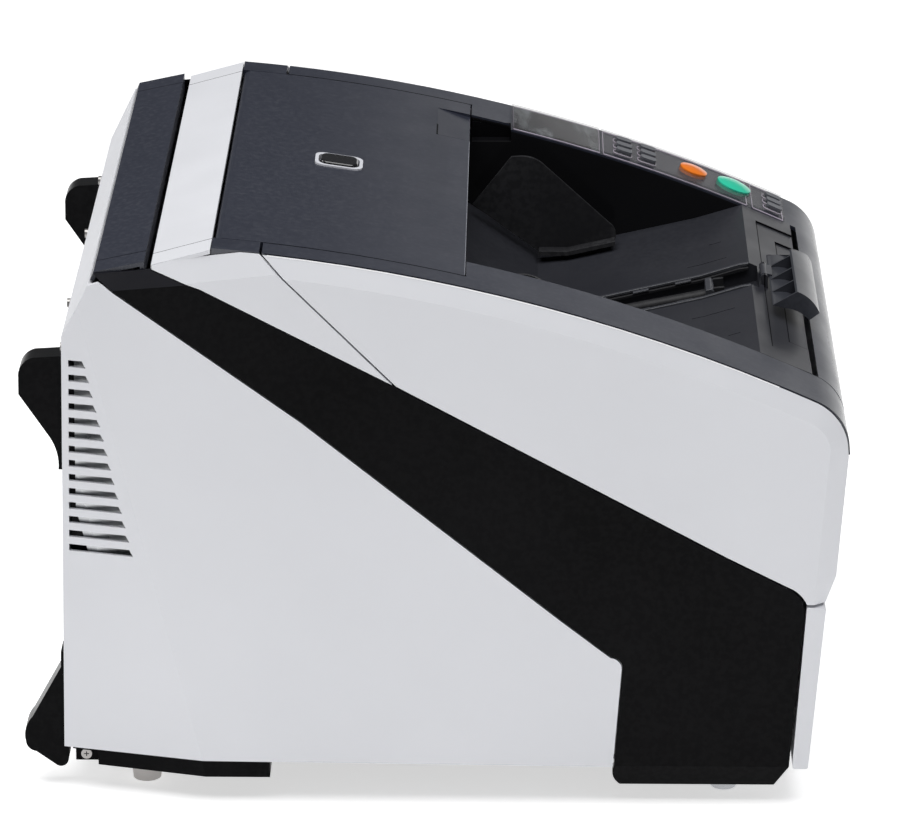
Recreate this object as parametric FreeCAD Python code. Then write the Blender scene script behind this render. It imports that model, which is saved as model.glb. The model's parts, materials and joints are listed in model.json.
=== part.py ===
import FreeCAD
import Part
import os
import math

V = FreeCAD.Vector

# ---------------------------------------------------------------- driving dimensions (mm)
WIDTH = 480.0            # overall width, Y
HALF = WIDTH / 2
ORIGIN_X = 271.06        # distance from the rear wall's foot to the middle of the overall length
WALL = 3.0               # moulded cover wall
TOP_HALF = 233.3         # half width of the flat top, inside the side chamfers
RAIL_HALF = 231.1        # outer edge of the dark top, half width
BAND_IN = 231.5          # inner edge of the black side bands
CREASE = 207.0           # half width of the main panel
WELL_LEFT = 176.0        # stacker well, left wall
WELL_RIGHT = 167.0       # stacker well, right wall (operator panel side)
HINGE_X, HINGE_Z = 121.0, 422.0          # upper unit hinge axis
HINGE_R = 4.7
HOPPER_X, HOPPER_Z = 539.2, 35.0         # hopper hinge axis
ARC_X, ARC_Z, ARC_R = 6.1, -864.7, 1296.4   # centre and radius of the curved top
LIFT = 0.6               # dark top, proud of the white edge
LEVER_X, LEVER_Z = 186.5, 418.4          # release lever pins
FIT = 0.05               # radial running clearance

FACET = [V(24, HALF, 369), V(103.7, HALF, 35.3), V(0.2, 213, 33.7)]   # rear corner bevel
CHAMFER_TIP = [V(31.9, TOP_HALF, 408.7), V(72.3, TOP_HALF, 412.2), V(72.3, HALF, 400.5)]
CHAMFER = 13.6           # height of the chamfer between top and sides


# ---------------------------------------------------------------- helpers
def wall_x(z):
    """X of the leaning rear wall's outer face at height z."""
    return 8.0 * (z - 33.7) / 328.3


def top_z(x, lift=0.0):
    """Height of the curved top at x."""
    return ARC_Z + math.sqrt((ARC_R + lift) ** 2 - (x - ARC_X) ** 2)


def top_arc(x0, x1, lift=0.0):
    """Outline points of the curved top from x0 to x1."""
    mid = (x0 + x1) / 2
    return [(x0, top_z(x0, lift)), ((mid, top_z(mid, lift)), (x1, top_z(x1, lift)))]


def on_top(shape, x, y, lift=0.0):
    """Place a shape modelled flat on the origin onto the curved top."""
    slope = math.degrees(math.asin((x - ARC_X) / ARC_R))
    return tilted(shape, x, top_z(x, lift), slope, y)


def wire(points, y):
    """Closed XZ outline at y. A tuple of two points (mid, end) is an arc."""
    edges = []
    start = V(points[0][0], y, points[0][1])
    last = start
    for p in points[1:]:
        if isinstance(p[0], tuple):
            mid = V(p[0][0], y, p[0][1])
            end = V(p[1][0], y, p[1][1])
            edges.append(Part.Arc(last, mid, end).toShape())
        else:
            end = V(p[0], y, p[1])
            edges.append(Part.makeLine(last, end))
        last = end
    if last.distanceToPoint(start) > 1e-6:
        edges.append(Part.makeLine(last, start))
    return Part.Wire(edges)


def prism(points, y0, y1):
    """XZ outline extruded from y0 to y1."""
    return Part.Face(wire(points, y0)).extrude(V(0, y1 - y0, 0))


def inset_prism(points, gap, y0, y1):
    face = Part.Face(wire(points, y0))
    return face.makeOffset2D(-gap, join=2).extrude(V(0, y1 - y0, 0))


def box(x0, x1, y0, y1, z0, z1):
    return Part.makeBox(x1 - x0, y1 - y0, z1 - z0, V(x0, y0, z0))


def rod(x, z, r, y0, y1):
    """Cylinder along Y."""
    return Part.makeCylinder(r, y1 - y0, V(x, y0, z), V(0, 1, 0))


def both(shape):
    """The shape and its mirror image in the XZ plane."""
    return Part.makeCompound([shape, mirrored(shape)])


def mirrored(shape):
    return shape.mirror(V(0, 0, 0), V(0, 1, 0))


def fused(shapes):
    return shapes[0].fuse(shapes[1:]).removeSplitter()


def beyond(points, inward=0.0):
    """Block on the outer side of a plane through three points near the right side."""
    p, q, r = points
    n = (q - p).cross(r - p).normalize()
    if n.y < 0:
        n = n * -1
    u = (q - p).normalize()
    v = n.cross(u)
    base = p - n * inward
    corners = [base + u * a + v * b for a, b in ((-900, -900), (900, -900), (900, 900), (-900, 900))]
    return Part.Face(Part.makePolygon(corners + corners[:1])).extrude(n * 600)


def side_plate(points, wall=WALL):
    """Right hand cover plate that follows the rear corner bevel."""
    outer = prism(points, 200, HALF).cut(beyond(FACET))
    inner = prism([(-50, 0), (700, 0), (700, 500), (-50, 500)], 190, HALF - wall)
    return outer.cut(inner.cut(beyond(FACET, wall)))


def tilted(shape, x, z, tilt, y=0.0):
    """Place a shape modelled flat on the origin onto a slope that falls to the front."""
    shape.Placement = FreeCAD.Placement(V(x, y, z), FreeCAD.Rotation(V(0, 1, 0), tilt))
    return shape


def rounded_block(length, width, z0, z1, r):
    block = box(-length / 2, length / 2, -width / 2, width / 2, z0, z1)
    upright = [e for e in block.Edges if abs(e.tangentAt(e.FirstParameter).z) > 0.9]
    return block.makeFillet(r, upright)


def export(name, shape):
    solids = shape.Solids
    out = solids[0].copy() if len(solids) == 1 else Part.makeCompound(solids)
    out.translate(V(-ORIGIN_X, 0, 0))
    for s in out.Solids:
        if not s.isValid():
            print("invalid solid in", name)
    out.exportStep("parts/%s.step" % name)
    b = out.BoundBox
    print("%-22s %2d  x %7.1f %7.1f  y %7.1f %7.1f  z %7.1f %7.1f" % (
        name, len(out.Solids), b.XMin, b.XMax, b.YMin, b.YMax, b.ZMin, b.ZMax))


# ---------------------------------------------------------------- outlines, XZ
REAR_WALL = [(0.0, 33.7), (8.0, 362.0), (28.0, 402.0)]
SIDE = REAR_WALL + [(35.3, 404.2), (177.6, 299.5), (364.2, 147.2), (401.0, 118.0),
                    ((407.6, 114.5), (409.2, 107.9)), (403.6, 31.5), (103.7, 34.5)]
BAND = [(31.9, 408.7), (35.1, 405.7), (177.6, 300.8), (364.2, 148.5), (401.8, 119.0),
        ((408.4, 115.2), (410.2, 107.9)), (404.6, 32.4), ((404.6, 21.0), (409.0, 15.2)), (522.0, 15.2),
        (532.4, 32.4), (540.9, 152.0), ((537.6, 164.9), (527.6, 173.2)), (484.3, 195.5),
        (244.1, 327.0), (107.8, 398.6), (72.3, 412.2)]
WING = [(73.4, 412.6), (108.1, 399.4), (243.2, 328.4), (149.4, top_z(149.4)), (115.3, 426.6), (73.4, 414.6)]
UNDER = [(542.6, 160.6), ((539.3, 166.3), (529.0, 174.1)), (484.6, 196.9), (246.4, 327.2)]
UPPER_OUT = top_arc(151.8, 546.2) + [
    ((562.0, 300.4), (569.2, 282.6)), (570.0, 274.0), (563.6, 181.0), (556.4, 160.6)] + UNDER
UPPER_SIDE = top_arc(166.6, 541.4, -CHAMFER) + [
    ((552.6, 291.6), (556.7, 280.0)), (556.1, 272.0), (549.4, 181.0), (548.0, 160.6)] + UNDER
NOSE = [((563.0, 301.6), (570.4, 283.4)), (571.3, 273.6), (568.3, 273.6), (567.4, 282.9)]
SEAM = [(232.0, 333.6), (244.1, 327.0), (484.3, 195.5), (528.0, 173.1)]
SEAM_UP = V(0.48, 0, 0.877)              # normal of the paper path, towards the upper unit
FLOOR = [(546.0, 314.8), (508.0, 331.3), (471.0, 320.0), (372.0, 297.0), (348.0, 294.5),
         (292.0, 333.0), (268.0, 350.0)]


def strip_along(points, gap, thick, y0, y1):
    """Sheet that runs parallel to the paper path, at a distance gap along its normal."""
    lower = [(x + gap * SEAM_UP.x, z + gap * SEAM_UP.z) for x, z in points]
    upper = [(x + thick * SEAM_UP.x, z + thick * SEAM_UP.z) for x, z in reversed(lower)]
    return prism(lower + upper, y0, y1)


def seam_point(x, gap):
    z = 327.0 - (x - 244.1) * (327.0 - 195.5) / (484.3 - 244.1)
    return x + gap * SEAM_UP.x, z + gap * SEAM_UP.z


def on_path(shape, x, gap):
    """Place a shape modelled flat on the origin onto the paper path."""
    px, pz = seam_point(x, gap)
    return tilted(shape, px, pz, 28.7)


# ---------------------------------------------------------------- base
def base_tray():
    floor = box(6, 531, -224, 224, 31, 34)
    skirt = prism([(25, 20), (152.6, 20), (152.6, 33.6), (25, 33.6)], -236, 236)
    pocket = box(32, 146, -176, 176, 18, 31)
    arms = both(fused([box(524, HOPPER_X, 196, 204, 31.6, 34), rod(HOPPER_X, HOPPER_Z, 3.4, 196, 204),
                       rod(HOPPER_X, HOPPER_Z, 2.0, 190, 210)])).Solids
    facet = beyond(FACET, 3.4)
    tray = fused([floor, skirt.cut(pocket)]).cut([facet, mirrored(facet)])
    tabs = both(box(8, 26, 206, 209, 21, 33.6)).Solids
    return fused([tray] + tabs + arms)


def chassis():
    plate = prism([(12, 36), (524, 36), (529, 150), (478, 190), (238, 320), (110, 388), (42, 394),
                   (16, 360)], 224.5, 226.5)
    plates = both(plate).Solids
    bars = [box(x, x + 14, -225, 225, z, z + 14) for x, z in ((160, 36), (500, 38), (40, 360), (220, 280))]
    facet = beyond(FACET, 4.0)
    return fused(plates + bars).cut([facet, mirrored(facet)])


def vents():
    slots = []
    for i in range(14):
        z = 341.8 - 11.15 * i
        left, right = 12.6 - 0.3 * i, 24.0 + 2.35 * i
        slots.append(prism([(left, z - 2.7), (right + 1.2, z - 2.7), (right - 1.4, z + 2.7),
                            (left, z + 2.7)], 200, 260))
    return slots


def side_panel():
    return side_plate(SIDE).cut(vents())


def band():
    outer = prism(BAND, BAND_IN, HALF).cut(beyond(CHAMFER_TIP))
    toe = prism([(380, 0), (560, 0), (560, 32.4), (380, 32.4)], 220, 260)
    slope = beyond([V(380, HALF, 32.4), V(560, HALF, 32.4), V(560, 233.5, 15.2)])
    inner = inset_prism(BAND, WALL, BAND_IN - 2, HALF - WALL)
    hollow = inner.cut([beyond(CHAMFER_TIP, WALL), box(380, 560, 200, 260, 0, 36)])
    return outer.cut([toe.common(slope), hollow])


def rear_cover():
    outline = REAR_WALL + [(31.0, 401.0), (11.0, 361.5), (3.0, 33.7)]
    cover = prism(outline, -HALF + 3.2, HALF - 3.2)
    facet = beyond(FACET, 3.2)
    ports = [box(-5, 20, 100, 128, 62, 82), box(-5, 20, 138, 152, 64, 80), box(-5, 20, 60, 84, 64, 76)]
    return cover.cut([facet, mirrored(facet)] + ports)


def rear_top_cover():
    half = TOP_HALF - 1.2
    top = prism([(72.8, 415.2), (114.8, 426.8), (114.8, 423.6), (72.8, 412.6)], -half, half)
    lip = prism([(72.8, 414.0), (76.0, 414.0), (76.0, 398.0), (72.8, 398.0)], -BAND_IN + 0.4, BAND_IN - 0.4)
    crest = top_z(151.9)
    slope = [V(151.9, TOP_HALF, crest), V(73.0, TOP_HALF, 414.4), V(151.9, HALF, crest - CHAMFER)]
    wing = prism(WING, TOP_HALF - 1.6, HALF)
    inner = inset_prism(WING, WALL, 220.0, HALF - WALL)
    wing = wing.cut([beyond(slope), inner.cut(beyond(slope, WALL))])
    return fused([top, lip] + both(wing).Solids)


def rear_strip():
    outline = [(29.2, 403.2), (31.9, 409.6), (67.8, 417.4), (67.8, 404.0), (64.8, 404.0), (64.8, 413.6),
               (34.0, 406.8), (32.2, 402.6)]
    return prism(outline, -RAIL_HALF, RAIL_HALF)


def hinge_caps():
    """Fixed end caps of the main panel's hinge line, each with its pin."""
    cap = prism([(115.6, 409.0)] + top_arc(115.6, 149.4, LIFT) + [(149.4, 409.0)], CREASE + 0.6, RAIL_HALF)
    pin = rod(HINGE_X, HINGE_Z, 2.5, CREASE - 14, CREASE + 1)
    return both(cap.fuse(pin))


def bracket_upper():
    horn = prism([(7.3, 338.4), (-15.0, 337.0), ((-22.6, 332.4), (-26.1, 321.6)), (-26.3, 309.0),
                  (-4.7, 276.2), ((-0.2, 266.0), (1.1, 251.1)), (5.1, 251.1)], 190, 210)
    return both(horn)


def bracket_lower():
    horn = prism([(1.7, 108.0), (-1.0, 108.0), (-1.3, 95.8), (-23.3, 55.9), ((-28.6, 46.0), (-28.6, 36.0)),
                  ((-26.0, 30.5), (-21.2, 28.2)), (-7.1, 17.9), ((-2.0, 16.4), (2.4, 20.6)), (3.6, 27.0),
                  (3.6, 33.2), (-0.4, 33.2)], 190, 210)
    return both(horn)


def rear_feet():
    return both(Part.makeCone(10.4, 11.85, 20.0, V(59, 190, 0)))


def front_feet():
    foot = fused([Part.makeCylinder(9.5, 5, V(486.5, 200, 0)),
                  Part.makeCylinder(6.0, 27.0, V(486.5, 200, 4))])
    return both(foot)


def screws():
    parts = []
    for y, z in ((-205, 343.5), (205, 343.5), (-145, 356), (15, 356), (145, 356)):
        parts.append(Part.makeCylinder(3.4, 3.0, V(wall_x(z - 3.4), y, z), V(-1, 0, 0)))
    for y in (-209, 209):
        parts.append(Part.makeCylinder(4.0, 2.2, V(16, y, 26.8), V(0, math.copysign(1, y), 0)))
    return Part.makeCompound(parts)


def lower_guide():
    sheet = strip_along(SEAM, -3.5, 1.5, -170, 170)
    holes = [on_path(box(-26, 26, -156, 156, -8, 8), 400, 0), on_path(box(-14, 14, -34, 34, -8, 8), 455, 0)]
    for y in (-70, 70):
        holes.append(on_path(box(-12, 12, y - 20, y + 20, -8, 8), 345, 0))
        holes.append(on_path(box(-12, 12, y - 20, y + 20, -8, 8), 290, 0))
    links = [box(262, 266, -224.5, 224.5, 296, 315), box(505, 509, -224.5, 224.5, 160, 182)]
    keep = prism([(200, 100), (540, 100), (540, 162)] + [(x, z - 1.4) for x, z in reversed(SEAM)], -230, 230)
    return fused([sheet.cut(holes)] + [link.common(keep) for link in links])


def scan_unit(side):
    """Camera housing on one side of the paper path."""
    if side < 0:
        body = box(-25, 25, -155, 155, -52, -3.6)
    else:
        body = box(-25, 25, -155, 155, 5.6, 36)
    return on_path(body, 400, 0)


def scan_glass(side):
    if side < 0:
        pane = box(-22, 22, -150, 150, -3.5, -2.2)
    else:
        pane = box(-22, 22, -150, 150, 4.2, 5.5)
    return on_path(pane, 400, 0)


def power_supply():
    return box(30, 150, 20, 190, 35, 95)


def main_board():
    return box(30, 32, -180, 60, 110, 330)


def rear_ports():
    inlet = box(1.0, 30, 101, 127, 63, 81).cut(box(-2, 18, 104, 124, 66, 78))
    pins = [box(8, 24, y - 1, y + 1, 69, 75) for y in (108.5, 114, 119.5)]
    port = box(2.0, 22, 139, 151, 65, 79).cut(box(-2, 14, 141, 149, 67, 77))
    board = box(24, 26, 96, 156, 58, 86)
    return fused([inlet, port, board] + pins)


def power_switch():
    """Rocker on a pin along Z."""
    return prism([(-1.2, 65.0), (5.0, 65.0), (5.0, 75.0), (-1.2, 75.0)], 61, 83).cut(
        box(-3, 0.4, 72, 90, 60, 80))


def roller(x, gap, r, halves, shaft_half):
    """Rubber rolls on one shaft across the paper path."""
    px, pz = seam_point(x, gap)
    rolls = [rod(px, pz, r, y0, y1) for y0, y1 in halves]
    return fused([rod(px, pz, 3.0, -shaft_half, shaft_half)] + rolls)


# ---------------------------------------------------------------- upper unit
def upper_cover():
    outer = Part.makeLoft([wire(UPPER_OUT, TOP_HALF), wire(UPPER_SIDE, HALF)], True, True)
    small_a = Part.Face(wire(UPPER_OUT, 226.0)).makeOffset2D(-WALL, join=2).OuterWire
    small_b = Part.Face(wire(UPPER_SIDE, HALF - WALL)).makeOffset2D(-WALL, join=2).OuterWire
    inner = Part.makeLoft([small_a, small_b], True, True)
    return outer.cut(inner)


def rail(well):
    """Top rail that wraps round the nose, with the stacker well's side wall, modelled on the right side."""
    outline = top_arc(151.4, 546.2, LIFT) + NOSE + [((560.4, 299.4), (544.8, top_z(544.8, LIFT - WALL)))]
    plate = prism(outline + top_arc(544.8, 151.4, LIFT - WALL)[1:], well, RAIL_HALF)
    plate = plate.cut(box(100, 295.6, well - 5, CREASE + 0.4, 300, 450))
    wall = prism(top_arc(296.2, 544.0, -1.0) + [(544, 200), (500, 197), (270, 322), (262, 340), (262, 392),
                                                (296.2, 392)], well, well + WALL)
    return fused([plate, wall])


def left_rail():
    return mirrored(rail(WELL_LEFT))


KEYS = [(414.5, y) for y in (185.5, 199.5, 213.5)] + [(433.5, y) for y in (185.5, 199.5, 213.5)] + \
       [(533.0, y) for y in (186.5, 199.5, 212.5)]
KEY_L, KEY_W = 12.5, 8.6
STOP_X, SCAN_X, BUTTON_Y = 469.7, 501.6, 200.0
STOP_R, SCAN_R = 11.2, 14.0
GAP = 0.35


def key_cutters(z0, z1, extra):
    cutters = []
    for x, y in KEYS:
        hole = rounded_block(KEY_L + 2 * extra, KEY_W + 2 * extra, z0, z1, 2.4)
        cutters.append(on_top(hole, x, y))
    for x, r in ((STOP_X, STOP_R), (SCAN_X, SCAN_R)):
        cutters.append(on_top(Part.makeCylinder(r + extra, z1 - z0, V(0, 0, z0)), x, BUTTON_Y))
    return cutters


def right_rail():
    ledge = box(295.6, 326.6, WELL_RIGHT - 5, 181, 382, 450)
    return rail(WELL_RIGHT).cut(key_cutters(-12, 8, GAP) + [ledge])


def top_sheet(x0, x1, low, high, y0, y1):
    """Sheet that follows the curved top."""
    return prism(top_arc(x0, x1, high) + top_arc(x1, x0, low), y0, y1)


def panel_overlay():
    """Clear cover: a window over the display and a plate round the keys."""
    window = top_sheet(327.0, 396.6, 1.8, 3.4, 168.6, 227.4)
    plate = top_sheet(397.4, 542.0, 0.9, 3.4, 168.6, 227.4)
    return Part.makeCompound([window, plate.cut(key_cutters(-12, 8, GAP))])


def lcd_panel():
    return top_sheet(328.4, 395.4, 0.8, 1.6, 170.4, 225.6)


def key(x, y):
    return on_top(rounded_block(KEY_L, KEY_W, -5.0, 4.8, 2.4), x, y)


def button(x, r, dome):
    """Round button with a domed cap."""
    body = Part.makeCylinder(r, 9.2, V(0, 0, -5.0))
    big = (r * r + dome * dome) / (2 * dome)
    cap = Part.makeSphere(big, V(0, 0, 4.2 + dome - big)).common(Part.makeCylinder(r, dome + 2, V(0, 0, 4.2)))
    return on_top(body.fuse(cap).removeSplitter(), x, BUTTON_Y)


def main_panel():
    """Top cover with a hinge barrel along its rear edge."""
    edge = top_z(294.6, LIFT)
    top = prism(top_arc(HINGE_X, 294.6, LIFT) + [(294.6, edge - 6.5), (291.6, edge - 6.5)] +
                top_arc(291.6, HINGE_X, LIFT - 3.5), -CREASE, CREASE)
    barrel = rod(HINGE_X, HINGE_Z, HINGE_R, -CREASE, CREASE)
    skirt = both(top_sheet(140, 291.6, -7.0, -1.0, CREASE - WALL, CREASE)).Solids
    bores = both(rod(HINGE_X, HINGE_Z, 2.5 + FIT, CREASE - 15, CREASE + 1)).Solids
    pocket = latch_block(36.4, 30.4, -12, 8)
    sections = []
    for y, rear_depth, front_depth in ((112.0, 0.9, 2.9), (181.0, 0.1, 2.7)):
        points = [(269.5, 420), (269.5, top_z(269.5, LIFT) - rear_depth),
                  (297, top_z(297, LIFT) - front_depth), (297, 420)]
        sections.append(wire(points, y))
    recess = Part.makeLoft(sections, True, True)
    return fused([top, barrel] + skirt).cut(bores + [pocket, recess])


def latch_block(length, width, z0, z1):
    return on_top(rounded_block(length, width, z0, z1, 7.5), 198.0, 0.0, LIFT)


def latch_bezel():
    ring = latch_block(36, 30, -7.5, 1.2).cut(latch_block(31, 25, -6.0, 3))
    return ring.cut(rod(LEVER_X, LEVER_Z, 0.9 + FIT, -13.6, 13.6))


def release_lever():
    """Finger lever hinged at the rear of its well."""
    body = rounded_block(28.5, 22.5, -3.0, 2.6, 6.4)
    crown = [e for e in body.Edges if abs(e.CenterOfMass.z - 2.6) < 0.1]
    lever = on_top(body.makeFillet(2.0, crown), 198.4, 0.6, LIFT)
    return lever.fuse(rod(LEVER_X, LEVER_Z, 0.9, -13.5, 13.5)).removeSplitter()


def front_cap():
    rear = 550.4
    outline = [(rear, top_z(rear, LIFT)), ((565.1, 298.9), (570.4, 283.4))] + NOSE[1:] + [
        ((562.4, 297.2), (rear, top_z(rear, LIFT - WALL)))]
    return prism(outline, -WELL_LEFT + 0.3, WELL_RIGHT - 0.3)


def front_cover():
    outline = [(570.2, 273.0), (563.6, 181.0), (556.3, 160.9), (541.2, 160.9), (541.2, 163.9), (554.2, 163.9),
               (560.5, 181.6), (567.1, 273.0)]
    return prism(outline, -TOP_HALF + 0.4, TOP_HALF - 0.4)


CHANNEL_HALF = 25.0
STOP_PIN_X, STOP_PIN_Z = 518.0, 332.6    # pins of the stack stop


def plateau_step(x, y0, y1, depth):
    """Shallow step in the sloping front of the stacker floor."""
    fall = (331.3 - 314.8) / 38.0
    z = 314.8 - depth
    return prism([(x, z + fall * (546 - x)), (547, z - fall), (547, 340), (x, 340)], y0, y1)


def stacker_tray():
    """Document receiving floor with a centre channel and the ears that carry the stop."""
    under = [(x, z - WALL) for x, z in reversed(FLOOR)]
    floor = prism(FLOOR + under, -WELL_LEFT + 0.4, WELL_RIGHT - 0.4)
    bed = prism([(546, 314.6), (509, 330.6), (509, 325), (546, 309)], -154, 144)
    bottom = prism([(520, 325.5), (508, 331), (471, 319.5), (372, 296.5), (369, 296), (369, 281), (520, 315)],
                   -CHANNEL_HALF - 2, CHANNEL_HALF + 2)
    channel = prism([(514, 317), (514, 345), (372, 345), (372, 284)], -CHANNEL_HALF, CHANNEL_HALF)
    slots = [box(x0, x1, y - 0.5, y + 0.5, 312, 340) for x0, x1, y in
             ((462, 492, 52), (480, 489, 92), (462, 494, -66), (487, 496, -122))]
    guide_rod = prism([(515, 321.0), (371, 291), (371, 287), (515, 317.0)], -2.5, 2.5)
    ears = both(fused([box(515.6, 520.6, 11.4, 15.0, 322, STOP_PIN_Z),
                       rod(STOP_PIN_X, STOP_PIN_Z, 2.9, 11.4, 15.0),
                       rod(STOP_PIN_X, STOP_PIN_Z, 1.6, 6.0, 15.0)])).Solids
    steps = [plateau_step(517.7, -150, 140, 1.3), plateau_step(531.5, -120, 110, 2.6)]
    return fused([fused([floor, bed, bottom]).cut([channel] + steps + slots), guide_rod] + ears)


def stacker_guide():
    """Flap that squares the pile, with a foot above the stacker floor."""
    flap = prism([(297, 339), (348, 301.5), (372, 301.5), (408, 310), ((408.5, 318), (404, 324)), (352, 372),
                  ((344, 377), (334, 378.5)), (327, 378)], 140, 143)
    foot = prism([(372, 301.5), (408, 310), (408, 313), (371, 304.5), (349, 304.5), (348, 301.5)], 128, 141)
    return fused([flap, foot])


def stopper():
    """Ribbed stop that folds up on two pins."""
    crescent = [(521.4, 332.4), (539.6, 343.0), ((549.6, 336.6), (556.3, 326.4)), (548.6, 320.6),
                ((540.6, 327.4), (530.0, 330.0))]
    hollow = [(519.0, 332.9), (524.4, 333.0), ((540.6, 330.2), (548.8, 323.4)), (553.4, 326.6),
              ((547.4, 335.0), (539.0, 340.0)), (537.2, 344.5), (520.0, 344.5)]
    body = prism(crescent, -75.5, 40.0).cut([prism(hollow, y, y + 26.5) for y in (-73.5, -45.0, -16.5, 12.0)])
    slant = Part.Face(Part.makePolygon([V(500, 41.2, 331.4), V(570, 41.2, 331.4), V(570, 20.0, 345.6),
                                        V(500, 20.0, 345.6), V(500, 41.2, 331.4)])).extrude(V(0, 40, 20))
    barrel = rod(STOP_PIN_X, STOP_PIN_Z, 3.0, -11.0, 11.0)
    web = prism([(518.0, 332.0), (524.0, 331.8), (524.0, 334.2), (518.0, 335.4)], -11.0, 11.0)
    bores = both(rod(STOP_PIN_X, STOP_PIN_Z, 1.6 + FIT, 5.8, 12.0)).Solids
    return fused([body.cut(slant), barrel, web]).cut(bores)


def upper_guide():
    sheet = strip_along(SEAM[1:], 2.5, 1.5, -160, 160)
    holes = [on_path(box(-26, 26, -156, 156, -8, 8), 400, 0), on_path(box(-17, 17, -34, 34, -8, 12), 490, 0)]
    links = [strip_along([(262, 317.2), (266, 315.0)], 2.6, 12, -WELL_LEFT, WELL_RIGHT),
             strip_along([(516, 179.5), (520, 177.4)], 2.6, 12, -WELL_LEFT, WELL_RIGHT)]
    return fused([sheet.cut(holes)] + links)


def eject_roller():
    rolls = [rod(258, 368, 9, y - 14, y + 14) for y in (-90, 0, 90)]
    return fused([rod(258, 368, 3, -160, 160)] + rolls)


# ---------------------------------------------------------------- hopper
def hopper_tray():
    """Folded feed tray: bores for the hinge pins below, shallow pocket on its inner side."""
    outline = [(535.1, 37.5), (535.1, 32.2), ((535.5, 31.2), (536.5, 30.8)), (544.8, 30.8),
               ((546.0, 31.3), (546.5, 32.5)), (556.4, 156.5), (555.0, 158.3), (542.6, 158.3)]
    body = prism(outline, -HALF, HALF)
    pocket = prism([(500, 48), (544.4, 48), (552.6, 150), (500, 150)], -212, 212)
    notches = both(box(530, 543.6, 195.7, 204.3, 25, 41)).Solids
    bores = both(rod(HOPPER_X, HOPPER_Z, 2.0 + FIT, 189.7, 210.3)).Solids
    return body.cut([pocket] + notches + bores)


def hopper_extension():
    """Second tray section, nested in the hopper's pocket."""
    return prism([(541.6, 60.0), (544.8, 60.0), (550.4, 146.0), (547.2, 146.0)], -90, 90)


def hopper_guide():
    """Side guide: foot in the pocket and upright fence, modelled on the right side."""
    foot = prism([(537.6, 64.0), (541.0, 64.0), (545.6, 134.0), (542.2, 134.0)], 128, 150)
    fence = prism([(516.0, 64.0), (540.8, 64.0), (545.2, 134.0), (532.0, 134.0),
                   ((521.0, 131.0), (516.0, 120.0))], 147.4, 150)
    return fused([foot, fence])


def build():
    os.makedirs("parts", exist_ok=True)
    export("base_tray", base_tray())
    export("chassis", chassis())
    export("right_side_panel", side_panel())
    export("left_side_panel", mirrored(side_panel()))
    export("right_band", band())
    export("left_band", mirrored(band()))
    export("rear_cover", rear_cover())
    export("rear_top_cover", rear_top_cover())
    export("rear_strip", rear_strip())
    export("hinge_caps", hinge_caps())
    export("upper_brackets", bracket_upper())
    export("lower_brackets", bracket_lower())
    export("rear_feet", rear_feet())
    export("front_feet", front_feet())
    export("screws", screws())
    export("lower_guide", lower_guide())
    export("lower_scan_unit", scan_unit(-1))
    export("lower_glass", scan_glass(-1))
    export("power_supply", power_supply())
    export("main_board", main_board())
    export("rear_ports", rear_ports())
    export("power_switch", power_switch())
    export("brake_roller", roller(455, -11.5, 10, [(-28, 28)], 60))
    export("feed_roller_front", roller(345, -11.5, 10, [(-86, -54), (54, 86)], 150))
    export("feed_roller_rear", roller(290, -11.5, 10, [(-86, -54), (54, 86)], 150))

    export("right_upper_cover", upper_cover())
    export("left_upper_cover", mirrored(upper_cover()))
    export("left_rail", left_rail())
    export("right_rail", right_rail())
    export("main_panel", main_panel())
    export("latch_bezel", latch_bezel())
    export("release_lever", release_lever())
    export("front_cap", front_cap())
    export("front_cover", front_cover())
    export("stacker_tray", stacker_tray())
    export("stacker_guide_right", stacker_guide())
    export("stacker_guide_left", mirrored(stacker_guide()))
    export("stopper", stopper())
    export("upper_guide", upper_guide())
    export("upper_scan_unit", scan_unit(1))
    export("upper_glass", scan_glass(1))
    export("pick_roller", roller(490, 16.0, 14, [(-28, 28)], 60))
    export("eject_roller", eject_roller())
    export("lcd_panel", lcd_panel())
    export("panel_overlay", panel_overlay())
    export("stop_button", button(STOP_X, STOP_R, 1.8))
    export("scan_button", button(SCAN_X, SCAN_R, 2.4))
    for i, (x, y) in enumerate(KEYS):
        export("key_%d" % (i + 1), key(x, y))

    export("hopper_tray", hopper_tray())
    export("hopper_extension", hopper_extension())
    export("hopper_guide_right", hopper_guide())
    export("hopper_guide_left", mirrored(hopper_guide()))


build()
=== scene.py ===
import json
import math

import bmesh
import bpy
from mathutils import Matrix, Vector


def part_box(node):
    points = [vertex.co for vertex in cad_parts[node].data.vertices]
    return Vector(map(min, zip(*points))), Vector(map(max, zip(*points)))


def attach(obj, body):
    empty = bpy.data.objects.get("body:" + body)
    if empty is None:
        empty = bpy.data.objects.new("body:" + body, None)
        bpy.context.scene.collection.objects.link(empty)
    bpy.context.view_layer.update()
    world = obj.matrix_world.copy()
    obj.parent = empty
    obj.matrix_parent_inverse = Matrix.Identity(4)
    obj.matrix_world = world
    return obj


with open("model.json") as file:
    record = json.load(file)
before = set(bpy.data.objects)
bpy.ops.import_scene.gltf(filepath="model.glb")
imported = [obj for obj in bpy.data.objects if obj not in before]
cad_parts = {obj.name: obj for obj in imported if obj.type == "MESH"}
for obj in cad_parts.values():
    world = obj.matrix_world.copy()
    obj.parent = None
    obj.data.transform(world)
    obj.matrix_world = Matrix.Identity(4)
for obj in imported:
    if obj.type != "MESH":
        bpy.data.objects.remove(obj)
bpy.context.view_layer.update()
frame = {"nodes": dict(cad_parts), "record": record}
NODES = frame["nodes"]
MM = 0.001
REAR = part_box("rear_cover")[0].x          # X of the rear wall's foot, the zero of the side outlines
BODY_OF = {node: body for body, nodes in frame["record"]["behaviour"]["bodies"].items() for node in nodes}


def at(x, z):
    """Row-frame X and Z from millimetres measured off the rear wall's foot and the desk."""
    return REAR + x * MM, z * MM


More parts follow.
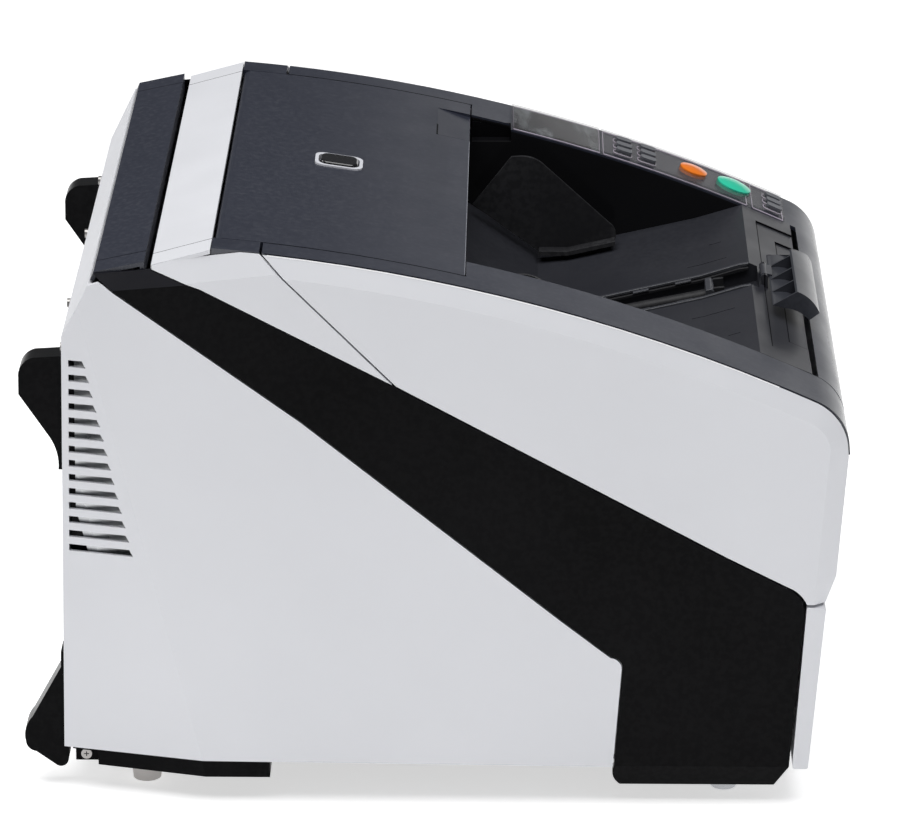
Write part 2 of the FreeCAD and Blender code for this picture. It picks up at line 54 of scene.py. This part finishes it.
ARC_CENTRE = (6.1, -864.7)                # side view centre of the curved top, millimetres
ARC_RADIUS = 1296.4                       # its radius, millimetres
ARC_X, ARC_Z = at(*ARC_CENTRE)
WELL_GAP = 1.0                            # the well begins this far below the curved top, millimetres
WELL_HALF_WIDTH = 200.0
WELL_FRONT = 545.0
CREASE_Y = 207.0                          # crease along the rear top strips, either side, millimetres
# colour of the dark lines: seams between parts, and painted shade along the edges of steps
SEAM_AND_STEP_SHADE_COLOR = (0.004, 0.004, 0.005)
# painted shade for faces inside the stacker well
WELL_SHADE_COLOR = (0.008, 0.008, 0.009)
DUST_COLOR = (0.45, 0.44, 0.42)


# ------------------------------------------------------------------ materials
def new_material(name):
    """A fresh node material, with its tree and its shader."""
    mat = bpy.data.materials.new(name)
    mat.use_nodes = True
    tree = mat.node_tree
    shader = tree.nodes["Principled BSDF"]
    return mat, tree, shader


def add(tree, kind, **values):
    """Add a node. Each value sets the node's setting of that name, or else its input."""
    node = tree.nodes.new(kind)
    for key, value in values.items():
        if hasattr(node, key):
            setattr(node, key, value)
        else:
            node.inputs[key.replace("_", " ")].default_value = value
    return node


def noise(tree, coord, scale, detail=2.0, rough=0.5):
    """Output of a noise texture read at the given coordinates."""
    node = add(tree, "ShaderNodeTexNoise", Scale=scale, Detail=detail, Roughness=rough)
    tree.links.new(coord, node.inputs["Vector"])
    return node.outputs["Fac"]


def spread(tree, value, low, high, out_low, out_high):
    """Map a value from the range low to high onto the range out_low to out_high, clamped."""
    node = add(tree, "ShaderNodeMapRange", From_Min=low, From_Max=high, To_Min=out_low, To_Max=out_high)
    tree.links.new(value, node.inputs["Value"])
    return node.outputs["Result"]


def mix_color(tree, factor, a, b):
    """Blend two colours, each a plain triple or a socket: a where the factor is 0, b where it is 1."""
    node = tree.nodes.new("ShaderNodeMix")
    node.data_type = "RGBA"
    tree.links.new(factor, node.inputs["Factor"])
    for socket, color in ((node.inputs[6], a), (node.inputs[7], b)):
        if isinstance(color, bpy.types.NodeSocket):
            tree.links.new(color, socket)
        else:
            socket.default_value = (*color, 1.0)
    return node.outputs[2]


def math_node(tree, operation, a, b=0.0):
    """Arithmetic on two values, each a number or a socket."""
    node = add(tree, "ShaderNodeMath", operation=operation)
    for socket, value in zip(node.inputs, (a, b)):
        if isinstance(value, bpy.types.NodeSocket):
            tree.links.new(value, socket)
        else:
            socket.default_value = value
    return node.outputs[0]


def split_xyz(tree, vector):
    """The X, Y and Z outputs of a vector."""
    node = tree.nodes.new("ShaderNodeSeparateXYZ")
    tree.links.new(vector, node.inputs[0])
    return node.outputs


def line_mask(tree, position, axis, centre, half, mirror=True, limits=()):
    """1 on a thin line where the coordinate is at the centre value, within the limits, else 0."""
    place = split_xyz(tree, position)
    value = place[axis]
    if mirror:
        value = math_node(tree, "ABSOLUTE", value)
    gap = math_node(tree, "ABSOLUTE", math_node(tree, "SUBTRACT", value, centre))
    mask = math_node(tree, "LESS_THAN", gap, half)
    for other, low, high in limits:
        above = math_node(tree, "GREATER_THAN", place[other], low)
        below = math_node(tree, "LESS_THAN", place[other], high)
        mask = math_node(tree, "MULTIPLY", mask, math_node(tree, "MULTIPLY", above, below))
    return mask


def well_shade_mask(tree, position):
    """1 under the curved top and between the rails, so inside the stacker well, where shade is painted, else
    0.
    """
    x, y, z = split_xyz(tree, position)
    run = math_node(tree, "SUBTRACT", x, ARC_X)
    rise = math_node(tree, "SUBTRACT", z, ARC_Z)
    run_square = math_node(tree, "MULTIPLY", run, run)
    rise_square = math_node(tree, "MULTIPLY", rise, rise)
    reach = math_node(tree, "SQRT", math_node(tree, "ADD", run_square, rise_square))
    under = math_node(tree, "LESS_THAN", reach, (ARC_RADIUS - WELL_GAP) * MM)
    inner = math_node(tree, "LESS_THAN", math_node(tree, "ABSOLUTE", y), WELL_HALF_WIDTH * MM)
    rear = math_node(tree, "LESS_THAN", x, at(WELL_FRONT, 0)[0])
    return math_node(tree, "MULTIPLY", under, math_node(tree, "MULTIPLY", inner, rear))


def surface_bump(tree, shader, height, strength):
    """Fine relief on the surface, from a texture's value."""
    bumps = add(tree, "ShaderNodeBump", Strength=strength, Distance=0.0002)
    tree.links.new(height, bumps.inputs["Height"])
    tree.links.new(bumps.outputs["Normal"], shader.inputs["Normal"])


def moulded(name, color, rough, grain=1500.0, bump=0.10, vary=0.05, wear=0.0, dust=0.0, specular=0.5,
            coat=0.0, side_specular=None, lines=(), well=False, slope_sheen_color=None, side_rough=1.0):
    """Moulded plastic: fine texture, slight tone changes, worn edges and a little dust on top.

    side_specular and side_rough change the sheen of steep faces, lines are dark lines for line_mask, both
    seams and painted shade along step edges, well paints shade on what lies inside the stacker well, and
    the slope colour gives faces that look upwards a lighter tone, a painted sheen.
    """
    mat, tree, shader = new_material(name)
    links = tree.links
    coord = tree.nodes.new("ShaderNodeTexCoord").outputs["Object"]
    geometry = tree.nodes.new("ShaderNodeNewGeometry")
    position = geometry.outputs["Position"]
    facing = split_xyz(tree, geometry.outputs["Normal"])[2]
    cloud = noise(tree, coord, 7.0, 3.0)
    fleck = noise(tree, coord, 260.0, 2.0)
    dark = tuple(c * (1 - vary) for c in color)
    light = tuple(min(1.0, c * (1 + vary)) for c in color)
    tone = mix_color(tree, spread(tree, cloud, 0.35, 0.65, 0.0, 1.0), dark, light)
    if wear:
        edge = spread(tree, geometry.outputs["Pointiness"], 0.52, 0.60, 0.0, wear)
        broken = math_node(tree, "MULTIPLY", edge, spread(tree, fleck, 0.4, 0.6, 0.3, 1.0))
        worn = tuple(min(1.0, c * 2.2 + 0.05) for c in color)
        tone = mix_color(tree, broken, tone, worn)
    if dust:
        top = spread(tree, facing, 0.5, 1.0, 0.0, dust)
        lying = math_node(tree, "MULTIPLY", top, spread(tree, fleck, 0.55, 0.75, 0.0, 1.0))
        tone = mix_color(tree, lying, tone, DUST_COLOR)
    shine = specular
    if side_specular is not None:
        shine = spread(tree, facing, 0.1, 0.8, side_specular, specular)
    # dark, dulled lines: seams, and painted shade along step edges
    for line in lines:
        mask = line_mask(tree, position, *line)
        tone = mix_color(tree, mask, tone, SEAM_AND_STEP_SHADE_COLOR)
        shine = math_node(tree, "MULTIPLY", shine, spread(tree, mask, 0.0, 1.0, 1.0, 0.05))
    # painted shade: faces inside the stacker well are darkened and lose most of their sheen
    if well:
        inside = well_shade_mask(tree, position)
        tone = mix_color(tree, inside, tone, WELL_SHADE_COLOR)
        shine = math_node(tree, "MULTIPLY", shine, spread(tree, inside, 0.0, 1.0, 1.0, 0.3))
    # painted sheen: faces that look upwards get a lighter tone
    if slope_sheen_color:
        upward_sheen = spread(tree, facing, 0.25, 0.38, 0.0, 1.0)
        tone = mix_color(tree, upward_sheen, tone, slope_sheen_color)
    links.new(tone, shader.inputs["Base Color"])
    patch = noise(tree, coord, 24.0, 4.0)
    rubbed = spread(tree, patch, 0.3, 0.7, rough * 0.88, min(1.0, rough * 1.14))
    rubbed = math_node(tree, "MULTIPLY", rubbed, spread(tree, facing, 0.1, 0.8, side_rough, 1.0))
    links.new(rubbed, shader.inputs["Roughness"])
    surface_bump(tree, shader, noise(tree, coord, grain, 1.5), bump)
    if isinstance(shine, bpy.types.NodeSocket):
        links.new(shine, shader.inputs["Specular IOR Level"])
    else:
        shader.inputs["Specular IOR Level"].default_value = shine
    shader.inputs["Coat Weight"].default_value = coat
    return mat


def metal(name, color, rough, stretch=(1.0, 60.0, 1.0), scale=90.0, bump=0.05):
    """Brushed or plated metal with fine directional lines."""
    mat, tree, shader = new_material(name)
    links = tree.links
    coord = tree.nodes.new("ShaderNodeTexCoord").outputs["Object"]
    mapping = tree.nodes.new("ShaderNodeMapping")
    mapping.inputs["Scale"].default_value = stretch
    links.new(coord, mapping.inputs["Vector"])
    lines = noise(tree, mapping.outputs["Vector"], scale, 3.0)
    tone = mix_color(tree, spread(tree, lines, 0.3, 0.7, 0.0, 1.0), tuple(c * 0.86 for c in color), color)
    links.new(tone, shader.inputs["Base Color"])
    links.new(spread(tree, lines, 0.3, 0.7, rough * 0.8, rough * 1.3), shader.inputs["Roughness"])
    surface_bump(tree, shader, lines, bump)
    shader.inputs["Metallic"].default_value = 1.0
    return mat


def across(x, half, span):
    """Dark line across the machine at one x, half its width either way, over a span of y, in millimetres; it
    marks seams and painted step shade.
    """
    return 0, at(x, 0)[0], half * MM, False, [(1, span[0] * MM, span[1] * MM)]


def along(y, half, span=None, mirror=False):
    """Dark line along the machine at one y, half its width either way, over a span of x, in millimetres; it
    marks seams and painted step shade.
    """
    return 1, y * MM, half * MM, mirror, [(0, at(span[0], 0)[0], at(span[1], 0)[0])] if span else []


WHITE = (0.705, 0.712, 0.745)
BLACK = (0.0030, 0.0030, 0.0034)
CHARCOAL = (0.0215, 0.0245, 0.0375)
WHITE_SKIN = dict(color=WHITE, rough=0.46, grain=1700.0, bump=0.10, vary=0.012, dust=0.03)
BLACK_SKIN = dict(color=BLACK, rough=0.34, grain=1900.0, bump=0.12, vary=0.25, wear=0.05, specular=0.5,
                  side_specular=0.035)
CHARCOAL_SKIN = dict(color=CHARCOAL, rough=0.36, grain=1500.0, vary=0.025, wear=0.12, dust=0.03)
CHARCOAL_SIDES = dict(CHARCOAL_SKIN, bump=0.05, side_specular=0.7, side_rough=0.32)
RAIL_SEAM = along(207.6, 1.0, (150, 296), mirror=True)
# painted shade: dark lines along the stepped edges of the finger recess in the main panel
PANEL_STEP_SHADE_LINES = [across(269.7, 0.6, (112, 140)), along(112.2, 0.5, (269.5, 295))]
# painted shade: dark lines along the edges of the steps on the stacker plateau
TRAY_STEP_SHADE_LINES = [across(518.2, 0.5, (-150, 140)), across(532.0, 0.5, (-120, 110)),
              along(140, 0.6, (517.7, 546)), along(110, 0.6, (531.5, 546)), along(-120, 0.6, (531.5, 546))]

white = moulded("white_cover", **WHITE_SKIN)
white_strip = moulded("white_top_strip", **WHITE_SKIN, lines=[along(CREASE_Y, 0.4, mirror=True)])
black = moulded("black_trim", **BLACK_SKIN)
# painted sheen: the band's upward faces are a little lighter than its black
band_black = moulded("band_black", **BLACK_SKIN, slope_sheen_color=(0.007, 0.007, 0.010))
charcoal = moulded("charcoal_cover", **CHARCOAL_SIDES)
# painted shade inside the stacker well, and a dark seam
charcoal_rail = moulded("charcoal_rail", **CHARCOAL_SIDES, well=True, lines=[RAIL_SEAM])
charcoal_panel = moulded("charcoal_panel", **CHARCOAL_SIDES, lines=PANEL_STEP_SHADE_LINES)
charcoal_strip = moulded("charcoal_strip", **CHARCOAL_SKIN, bump=0.12,
                         lines=[along(CREASE_Y, 0.5, mirror=True)])
tray = moulded("tray_plastic", (0.022, 0.023, 0.029), 0.36, grain=900.0, bump=0.05, vary=0.06, wear=0.10,
               specular=0.6, lines=TRAY_STEP_SHADE_LINES)
stop_plate = moulded("stop_plate", (0.030, 0.032, 0.040), 0.34, grain=900.0, bump=0.03, vary=0.05, wear=0.1,
                     specular=0.9, side_specular=1.0, side_rough=0.4)
# near-black and dull: painted shade for the recess behind the finger gap and the screws' cross recesses
recess_shade_black = moulded("recess_shade_black", (0.003, 0.003, 0.004), 0.6, grain=1100.0, bump=0.08, vary=0.2,
                      specular=0.08)
guide_black = moulded("guide_black", (0.013, 0.013, 0.015), 0.5, grain=1100.0, bump=0.08, vary=0.08,
                      wear=0.25, specular=0.25)
steel = metal("plated_steel", (0.55, 0.56, 0.57), 0.32)
silver = metal("silver_bezel", (0.66, 0.67, 0.70), 0.26, (1.0, 1.0, 1.0), 400.0)
screw = metal("screw_plate", (0.36, 0.35, 0.34), 0.34, (1.0, 1.0, 1.0), 900.0)
foot = moulded("foot_elastomer", (0.66, 0.63, 0.61), 0.55, grain=700.0, bump=0.2, vary=0.08)
rubber = moulded("roller_rubber", (0.035, 0.036, 0.040), 0.75, grain=800.0, bump=0.4, vary=0.2)
housing = moulded("scan_housing", (0.020, 0.020, 0.022), 0.5, vary=0.2)
board = moulded("solder_mask", (0.012, 0.10, 0.04), 0.35, grain=300.0, bump=0.05, vary=0.25)
port = moulded("port_plastic", (0.012, 0.012, 0.013), 0.4, vary=0.2)
gloss = moulded("lever_gloss", (0.008, 0.008, 0.010), 0.12, bump=0.01, vary=0.2, coat=0.6)
orange = moulded("button_orange", (0.93, 0.22, 0.015), 0.30, grain=900.0, bump=0.03, vary=0.06, coat=0.3)
green = moulded("button_green", (0.035, 0.64, 0.41), 0.30, grain=900.0, bump=0.03, vary=0.06, coat=0.3)
bezel = moulded("bezel_silver", (0.74, 0.75, 0.80), 0.28, grain=900.0, bump=0.03, vary=0.04, coat=0.4)
keycap = moulded("key_cap", (0.10, 0.105, 0.12), 0.36, grain=900.0, bump=0.05, vary=0.08)

# painted highlight for the rounded front lip of the main panel
lip_highlight = moulded("lip_highlight", (0.20, 0.21, 0.25), 0.25, grain=900.0, bump=0.03, vary=0.1, coat=0.3)
# painted highlight along the rounded crest of the white side covers
crest_highlight = moulded("crest_highlight", (0.90, 0.90, 0.92), 0.35, grain=1700.0, bump=0.05, vary=0.01)
tray_edge = moulded("tray_edge", (0.045, 0.047, 0.055), 0.30, grain=900.0, bump=0.05, vary=0.1, wear=0.3)
# painted highlight for the clear raised rims and edges of the panel overlay
rim_highlight = moulded("rim_highlight", (0.62, 0.55, 0.66), 0.22, grain=900.0, bump=0.03, vary=0.25, coat=0.5)
acrylic = moulded("overlay_acrylic", (0.045, 0.040, 0.050), 0.08, grain=60.0, bump=0.01, vary=0.1,
                  specular=0.6)
acrylic.node_tree.nodes["Principled BSDF"].inputs["Alpha"].default_value = 0.20


def glass(name, color, rough):
    """Clear glass with faint smears."""
    mat, tree, shader = new_material(name)
    coord = tree.nodes.new("ShaderNodeTexCoord").outputs["Object"]
    smear = noise(tree, coord, 30.0, 4.0)
    tree.links.new(spread(tree, smear, 0.3, 0.7, rough * 0.5, rough * 1.6), shader.inputs["Roughness"])
    shader.inputs["Base Color"].default_value = (*color, 1.0)
    shader.inputs["Transmission Weight"].default_value = 1.0
    shader.inputs["IOR"].default_value = 1.49
    return mat


def display_face(name):
    """Dark display window with soft, slanting reflections of the room."""
    mat, tree, shader = new_material(name)
    coord = tree.nodes.new("ShaderNodeTexCoord").outputs["Object"]
    mapping = tree.nodes.new("ShaderNodeMapping")
    mapping.inputs["Scale"].default_value = (34.0, 9.0, 6.0)
    mapping.inputs["Rotation"].default_value = (0.0, 0.0, 0.9)
    tree.links.new(coord, mapping.inputs["Vector"])
    streak = noise(tree, mapping.outputs["Vector"], 1.6, 3.0, 0.45)
    glow = spread(tree, streak, 0.50, 0.68, 0.0, 1.0)
    tone = mix_color(tree, glow, (0.002, 0.003, 0.004), (0.26, 0.29, 0.30))
    tree.links.new(tone, shader.inputs["Base Color"])
    tree.links.new(spread(tree, streak, 0.3, 0.7, 0.10, 0.22), shader.inputs["Roughness"])
    shader.inputs["Specular IOR Level"].default_value = 0.25
    return mat


SLOT_LOOKS = {
    "white_cover": white, "black_trim": black, "charcoal": charcoal, "dark_tray": tray, "steel": steel,
    "foot_grey": foot, "foot_metal": silver, "screw_metal": screw, "scan_housing": housing,
    "psu_metal": steel, "board_green": board, "port_black": port, "roller_rubber": rubber,
    "bezel_silver": bezel, "lever_gloss": gloss, "button_orange": orange, "button_green": green,
    "key_grey": keycap, "scan_glass": glass("scan_glass", (0.80, 0.90, 0.88), 0.02),
    "overlay_clear": acrylic, "display": display_face("display_face"),
}
NODE_LOOKS = {
    "rear_top_cover": white_strip, "rear_strip": charcoal_strip, "left_band": band_black,
    "right_band": band_black, "left_rail": charcoal_rail, "right_rail": charcoal_rail,
    "hinge_caps": charcoal_rail, "stacker_guide_left": guide_black, "stacker_guide_right": guide_black,
    "stopper": stop_plate, "main_panel": charcoal_panel,
}
SLOT_OF = {part["node"]: part["material_slot"] for part in frame["record"]["subparts"]}

for node, slot in SLOT_OF.items():
    obj = NODES[node]
    obj.data.materials.clear()
    obj.data.materials.append(NODE_LOOKS.get(node, SLOT_LOOKS[slot]))


# ------------------------------------------------------------------ rounded moulding edges
def round_edges(obj, width):
    """Round the sharp edges of an object, to a width in millimetres."""
    mod = obj.modifiers.new("edge", "BEVEL")
    mod.width = width * MM
    mod.segments = 3
    mod.limit_method = "ANGLE"
    mod.harden_normals = True
    return mod


SHARP_ANGLE = 28.0                        # imported edges bent more than this are rounded, degrees
COVERS = ("left_side_panel", "right_side_panel", "left_upper_cover", "right_upper_cover", "rear_top_cover",
          "front_cover", "hopper_tray", "rear_cover", "left_band", "right_band", "rear_strip", "hinge_caps",
          "left_rail", "right_rail", "main_panel", "front_cap", "upper_brackets", "lower_brackets",
          "base_tray")
SMALL_PARTS = ("stacker_tray", "stacker_guide_left", "stacker_guide_right", "stopper", "latch_bezel",
               "release_lever", "panel_overlay")
for names, width in ((COVERS, 0.8), (SMALL_PARTS, 0.4)):
    for name in names:
        round_edges(NODES[name], width).angle_limit = math.radians(SHARP_ANGLE)


# ------------------------------------------------------------------ moulded detail pieces
def finish_piece(obj, material, node, bevel=0.0):
    """Give a piece its finish, let it ride with the node's body, and round its edges."""
    obj.data.materials.append(material)
    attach(obj, BODY_OF[node])
    if bevel:
        round_edges(obj, bevel)
    return obj


def mesh_object(name, points, faces):
    """Object with a mesh of its own, from points in metres and faces."""
    mesh = bpy.data.meshes.new(name)
    mesh.from_pydata(points, [], faces)
    mesh.validate()
    obj = bpy.data.objects.new(name, mesh)
    bpy.context.scene.collection.objects.link(obj)
    return obj


def profile(name, outline, y0, y1, material, node, bevel=0.3):
    """Side outline in millimetres off the rear wall's foot, drawn out from y0 to y1."""
    ring = [at(x, z) for x, z in outline]
    count = len(ring)
    points = [(x, y0 * MM, z) for x, z in ring] + [(x, y1 * MM, z) for x, z in ring]
    faces = [tuple(range(count)), tuple(range(2 * count - 1, count - 1, -1))]
    faces += [(i, i + count, (i + 1) % count + count, (i + 1) % count) for i in range(count)]
    obj = mesh_object(name, points, faces)
    bm = bmesh.new()
    bm.from_mesh(obj.data)
    bmesh.ops.recalc_face_normals(bm, faces=bm.faces)
    bm.to_mesh(obj.data)
    bm.free()
    return finish_piece(obj, material, node, bevel)


def tube(name, points, radius, material, node, cyclic=False):
    """Round bead through points given as (x, y, z) in millimetres off the rear wall's foot."""
    data = bpy.data.curves.new(name, "CURVE")
    data.dimensions = "3D"
    data.bevel_depth = radius * MM
    data.bevel_resolution = 3
    spline = data.splines.new("POLY")
    spline.points.add(len(points) - 1)
    spline.use_cyclic_u = cyclic
    for target, (x, y, z) in zip(spline.points, points):
        px, pz = at(x, z)
        target.co = (px, y * MM, pz, 1.0)
    obj = bpy.data.objects.new(name, data)
    bpy.context.scene.collection.objects.link(obj)
    return finish_piece(obj, material, node)


def top_height(x, lift=0.0):
    """Height of the curved top in millimetres, x off the rear wall's foot."""
    return ARC_CENTRE[1] + math.sqrt((ARC_RADIUS + lift) ** 2 - (x - ARC_CENTRE[0]) ** 2)


def rounded_ring(x, y, length, width, radius, lift, steps=4):
    """Closed row of points on the curved top, a rounded rectangle round x and y, in millimetres."""
    ring = []
    for corner, (sx, sy) in enumerate(((1, 1), (-1, 1), (-1, -1), (1, -1))):
        for k in range(steps + 1):
            turn = math.radians(90 * (corner + k / steps))
            px = x + sx * (length / 2 - radius) + radius * math.cos(turn)
            py = y + sy * (width / 2 - radius) + radius * math.sin(turn)
            ring.append((px, py, top_height(px, lift)))
    return ring


CHANNEL_KNEE = 471.0                      # x where the floor beside the centre channel turns flatter


def channel_floor(x):
    """Height of the stacker floor beside the centre channel, in millimetres."""
    if x > CHANNEL_KNEE:
        return 320.0 + (x - CHANNEL_KNEE) * 11.3 / 37.0
    return 297.0 + (x - 372) * 23.0 / 99.0


def stacker_details():
    """Lips, steps and clips of the centre channel, its rod with the saddle, and the finger gap's lining."""
    lip = [(374, channel_floor(374) - 1), (374, channel_floor(374) + 1.3),
           (CHANNEL_KNEE, channel_floor(CHANNEL_KNEE) + 1.3), (500, channel_floor(500) + 1.6),
           (507.5, channel_floor(507) + 0.6), (507.5, channel_floor(507) - 1.5),
           (CHANNEL_KNEE, channel_floor(CHANNEL_KNEE) - 1)]
    step = [(x, z - 2.6) for x, z in lip]
    for side, out in (("far", 1), ("near", -1)):
        y = out * 25.0
        profile(f"channel_lip_{side}", lip, y - out * 1.4, y + out * 2.2, tray_edge, "stacker_tray", 0.6)
        profile(f"channel_step_{side}", step, y - out * 4.2, y - out * 1.2, guide_black, "stacker_tray", 0.5)
        for k, x in enumerate((388, 420, 452)):
            low = channel_floor(x)
            clip = [(x, low - 1.2), (x + 12, low + 1.6), (x + 12, low + 3.1), (x, low + 0.3)]
            profile(f"channel_clip_{side}_{k}", clip, y - out * 5.0, y - out * 1.0, tray_edge,
                    "stacker_tray", 0.4)
    tube("channel_rod", [(376, 0.0, 293.6), (478, 0.0, 314.6)], 4.6, guide_black, "stacker_tray")
    saddle = [(474, 311.0), (480.5, 312.4), (480.5, 321.8), (478.0, 323.4), (474, 322.6)]
    profile("rod_saddle", saddle, -14, 14, tray_edge, "stacker_tray", 0.6)
    post = [(480, 312), (488, 314), (488, 324.5), (480, 323.5)]
    for side, y in (("near", -10.5), ("far", 10.5)):
        profile(f"saddle_post_{side}", post, y - 1.5, y + 1.5, guide_black, "stacker_tray")
    # lining of the finger gap, near-black as painted shade of the recess
    back = [(295.8, 378.5), (326.4, 378.5), (326.4, 392.8), (295.8, 394.6)]
    floor_strip = [(295.8, 379.0), (326.4, 379.0), (326.4, 381.6), (295.8, 381.6)]
    front = [(325.6, 379.0), (326.5, 379.0), (326.5, 392.4), (325.6, 392.4)]
    profile("ledge_back", back, 181.2, 182.2, recess_shade_black, "right_rail")
    profile("ledge_floor", floor_strip, 170.2, 181.2, recess_shade_black, "right_rail")
    profile("ledge_front", front, 170.2, 181.2, recess_shade_black, "right_rail")


KEY_RIM = dict(length=14.2, width=10.0, radius=3.2, lift=1.2)
OVERLAY_SIDES = (("near", 169.0), ("far", 227.0))
OVERLAY_PANES = (("window", 328.5, 396.0), ("keys", 399.0, 512.0), ("end", 516.5, 540.5))
OVERLAY_LIFT = 1.0                        # beads above the curved top, millimetres


def panel_details():
    """Rims round the keys and beads along the edges of the operator panel, in a light colour that is a
    painted highlight on the overlay's clear raised rims and edges.
    """
    for number in range(1, 10):
        low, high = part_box(f"key_{number}")
        x = ((low.x + high.x) / 2 - REAR) / MM
        y = (low.y + high.y) / 2 / MM
        tube(f"key_rim_highlight_{number}", rounded_ring(x, y, **KEY_RIM), 0.42, rim_highlight, "panel_overlay", True)
    for name, x0, x1 in OVERLAY_PANES:
        for side, y in OVERLAY_SIDES:
            stations = [x0 + (x1 - x0) * k / 8 for k in range(9)]
            line = [(x, y, top_height(x, OVERLAY_LIFT)) for x in stations]
            tube(f"edge_highlight_{name}_{side}", line, 0.5, rim_highlight, "panel_overlay")
        for end, x in (("rear", x0), ("front", x1)):
            line = [(x, y, top_height(x, OVERLAY_LIFT)) for _, y in OVERLAY_SIDES]
            tube(f"cross_highlight_{name}_{end}", line, 0.4, rim_highlight, "panel_overlay")


PANEL_FRONT = 294.5                       # x of the main panel's front lip, millimetres
CREST_Y = 233.3                           # crest of the white side covers, either side, millimetres
CREST_X = [155 + 28 * k for k in range(14)]


def edge_details():
    """A painted highlight along the main panel's front lip, and another along the rounded crest of the white
    side covers.
    """
    lip = [(PANEL_FRONT, y, top_height(PANEL_FRONT, 0.35)) for y in (-206.0, 111.0)]
    tube("panel_lip_highlight", lip, 0.35, lip_highlight, "main_panel")
    # painted highlights along both crests
    for side, y in (("left", -CREST_Y), ("right", CREST_Y)):
        crest = [(x, y, top_height(x, -0.3)) for x in CREST_X]
        tube(f"cover_crest_highlight_{side}", crest, 0.5, crest_highlight, f"{side}_upper_cover")


SIDE_SCREW = (16.0, 26.8)                 # centre of the base's side screws, millimetres


def screw_details():
    """A flat dark cross on each of the two side screws of the base, painted shade for their cross recesses.
    """
    low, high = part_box("screws")
    x, z = SIDE_SCREW
    for side, y in (("near", low.y / MM), ("far", high.y / MM)):
        out = -1 if side == "near" else 1
        for arm, (wide, tall) in (("level", (1.9, 0.35)), ("upright", (0.35, 1.9))):
            outline = [(x - wide, z - tall), (x + wide, z - tall), (x + wide, z + tall),
                       (x - wide, z + tall)]
            profile(f"cross_{side}_{arm}", outline, y - out * 0.5, y + out * 0.05, recess_shade_black, "screws",
                    0.05)


def vent_details():
    """A dark sheet behind the side slots, painted shade for the dark inside of the machine."""
    shade_sheet = [(9, 175), (52, 175), (24, 330), (9, 330)]
    for side, out in (("left", -1), ("right", 1)):
        low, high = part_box(f"{side}_side_panel")
        inner = (low.y if side == "right" else high.y) / MM
        profile(f"vent_shade_sheet_{side}", shade_sheet, inner, inner + out * 1.2, guide_black, f"{side}_side_panel",
                0.2)


stacker_details()
panel_details()
edge_details()
screw_details()
vent_details()


# ------------------------------------------------------------------ stage, light, camera
FLOOR_SIZE = 30.0
FLOOR_GLOW = 0.62                         # keeps the floor as white as a photo studio's sweep
WORLD_COLOR, WORLD_STRENGTH = (0.95, 0.97, 1.0, 1.0), 0.08
SOFTBOXES = (
    # name, place, aim, size, watts
    ("top_softbox", (0.0, -0.5, 2.7), (0, 0, 0.2), (3.0, 2.4), 80.0),
    ("left_softbox", (-2.8, 0.9, 2.0), (0, 0, 0.2), (1.6, 1.6), 22.0),
    ("back_softbox", (1.7, 4.0, 0.75), (0, 0, 0.3), (3.2, 1.5), 12.0),
)
CAMERA_PLACE = (0.06164, -3.6591, 1.58535)
YAW, PITCH = math.radians(-0.80521), math.radians(20.4361)
SENSOR, LENS = 36.0, 204.8                # millimetres


def look(direction):
    """Turn that points an object's -Z along a direction, with Y up."""
    return direction.to_track_quat("-Z", "Y").to_euler()


def plane(name, size, location, material):
    """Flat square in one material."""
    bpy.ops.mesh.primitive_plane_add(size=size, location=location)
    obj = bpy.context.object
    obj.name = name
    obj.data.materials.append(material)
    return obj


def area_light(name, location, target, size, power):
    """White rectangular light, aimed at a point."""
    data = bpy.data.lights.new(name, "AREA")
    data.shape = "RECTANGLE"
    data.size, data.size_y = size
    data.energy = power
    obj = bpy.data.objects.new(name, data)
    bpy.context.scene.collection.objects.link(obj)
    obj.location = location
    obj.rotation_euler = look(Vector(target) - Vector(location))


floor_mat = moulded("studio_floor", (0.88, 0.88, 0.88), 0.7, grain=60.0, bump=0.0, vary=0.004,
                    specular=0.1)
floor_shader = floor_mat.node_tree.nodes["Principled BSDF"]
floor_shader.inputs["Emission Color"].default_value = (1.0, 1.0, 1.0, 1.0)
floor_shader.inputs["Emission Strength"].default_value = FLOOR_GLOW
floor = plane("studio_floor", FLOOR_SIZE, (0, 0, 0), floor_mat)

for softbox in SOFTBOXES:
    area_light(*softbox)

world = bpy.data.worlds.new("studio_world")
bpy.context.scene.world = world
world.use_nodes = True
world.node_tree.nodes["Background"].inputs["Color"].default_value = WORLD_COLOR
world.node_tree.nodes["Background"].inputs["Strength"].default_value = WORLD_STRENGTH

camera_data = bpy.data.cameras.new("camera")
camera_data.sensor_width = SENSOR
camera_data.lens = LENS
camera_data.clip_end = 100.0
camera = bpy.data.objects.new("camera", camera_data)
bpy.context.scene.collection.objects.link(camera)
camera.location = CAMERA_PLACE
view = Vector((math.sin(YAW) * math.cos(PITCH), math.cos(YAW) * math.cos(PITCH), -math.sin(PITCH)))
camera.rotation_euler = look(view)
bpy.context.scene.camera = camera
bpy.context.scene.view_settings.view_transform = "Standard"
